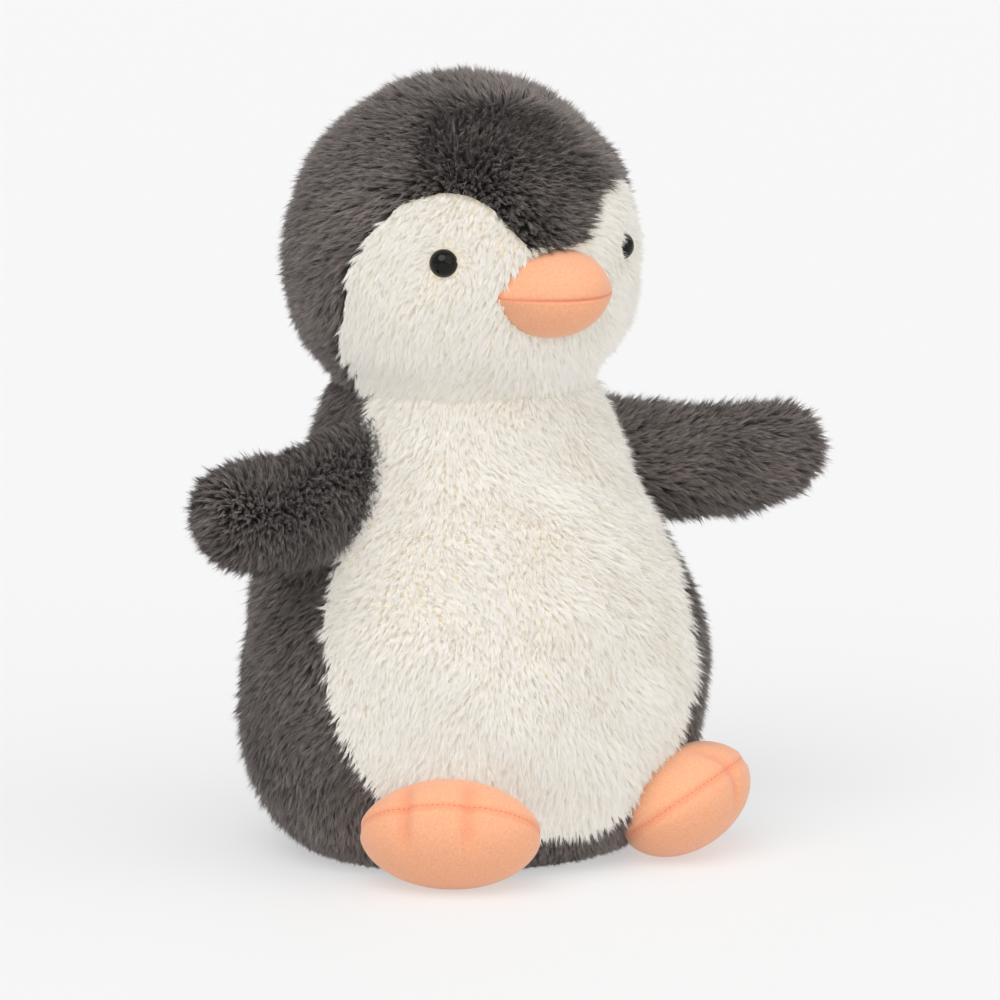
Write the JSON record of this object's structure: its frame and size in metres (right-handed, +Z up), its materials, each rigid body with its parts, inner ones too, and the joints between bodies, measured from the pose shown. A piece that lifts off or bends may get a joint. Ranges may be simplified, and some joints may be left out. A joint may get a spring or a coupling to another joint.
{
  "type": "plush penguin",
  "caption": "Sitting plush penguin with a soft pile body, a turning and nodding head, swinging wings and flexing feet.",
  "frame": {"origin": "middle of the flat seat under the torso, on the surface it sits on", "axes": "+Z up, -Y the way the penguin faces, +X towards its left wing"},
  "size_m": [0.3074, 0.1918, 0.3285],
  "materials": {
    "dark_pile": "matte",
    "cream_pile": "matte",
    "orange_suede": "matte",
    "fibre_fill": "matte",
    "pouch_cloth": "matte",
    "pellets": "satin",
    "eye_black": "gloss",
    "washer_plastic": "satin"
  },
  "bodies": {
    "torso": {"belly_panel": "cream_pile", "back_left_panel": "dark_pile", "back_right_panel": "dark_pile", "base_panel": "dark_pile", "body_stuffing": "fibre_fill", "bean_pouch": "pouch_cloth", "bean_pellets": "pellets"},
    "neck": {"neck_stuffing": "fibre_fill"},
    "head": {"forehead_panel": "dark_pile", "hood_left_panel": "dark_pile", "hood_right_panel": "dark_pile", "face_panel": "cream_pile", "head_stuffing": "fibre_fill", "eye_left": "eye_black", "eye_right": "eye_black", "eye_left_washer": "washer_plastic", "eye_right_washer": "washer_plastic", "beak_upper": "orange_suede", "beak_lower": "orange_suede", "beak_stuffing": "fibre_fill"},
    "wing_left": {"wing_left_front": "dark_pile", "wing_left_back": "dark_pile", "wing_left_stuffing": "fibre_fill"},
    "wing_right": {"wing_right_front": "dark_pile", "wing_right_back": "dark_pile", "wing_right_stuffing": "fibre_fill"},
    "foot_left": {"foot_left_upper": "orange_suede", "foot_left_sole": "orange_suede", "foot_left_stuffing": "fibre_fill"},
    "foot_right": {"foot_right_upper": "orange_suede", "foot_right_sole": "orange_suede", "foot_right_stuffing": "fibre_fill"}
  },
  "joints": [
    {"name": "neck_turn", "type": "hinge", "parent": "torso", "child": "neck", "pos_m": [0, 0.007, 0.202], "axis": [0, 0, 1], "range_deg": [-25, 25], "stiffness_Nm_per_rad": 0.8},
    {"name": "head_nod", "type": "hinge", "parent": "neck", "child": "head", "pos_m": [0, 0.007, 0.202], "axis": [1, 0, 0], "range_deg": [-10, 10], "stiffness_Nm_per_rad": 1.5},
    {"name": "wing_left_swing", "type": "hinge", "parent": "torso", "child": "wing_left", "pos_m": [0.066, -0.012, 0.162], "axis": [-0.38, 0, 0.925], "range_deg": [-30, 25], "stiffness_Nm_per_rad": 0.05},
    {"name": "wing_right_swing", "type": "hinge", "parent": "torso", "child": "wing_right", "pos_m": [-0.066, -0.012, 0.162], "axis": [-0.38, 0, -0.925], "range_deg": [-30, 25], "stiffness_Nm_per_rad": 0.05},
    {"name": "foot_left_flex", "type": "hinge", "parent": "torso", "child": "foot_left", "pos_m": [0.051, -0.0565, 0.012], "axis": [-0.788, -0.6157, 0], "range_deg": [0, 12], "stiffness_Nm_per_rad": 0.05},
    {"name": "foot_right_flex", "type": "hinge", "parent": "torso", "child": "foot_right", "pos_m": [-0.051, -0.0565, 0.012], "axis": [-0.788, 0.6157, 0], "range_deg": [0, 12], "stiffness_Nm_per_rad": 0.05}
  ]
}
